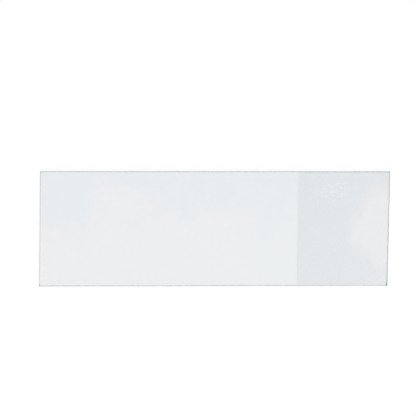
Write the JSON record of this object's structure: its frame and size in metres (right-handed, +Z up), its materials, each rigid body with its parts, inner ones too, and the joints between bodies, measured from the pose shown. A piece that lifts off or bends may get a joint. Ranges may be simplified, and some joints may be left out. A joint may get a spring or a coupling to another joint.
{
  "type": "microscope slide",
  "caption": "Thin rectangular plate of clear glass with ground edges and a frosted marking end, which carries a specimen under a microscope.",
  "frame": {"origin": "middle of the underside, on which the slide lies", "axes": "+X along the slide towards its frosted end, +Y across it, +Z up through the glass"},
  "size_m": [0.0762, 0.0254, 0.001],
  "materials": {
    "slide_glass": "polished clear faces, one ground matt end and ground edges"
  },
  "bodies": {
    "root": {"glass_slide": "slide_glass"}
  },
  "joints": []
}
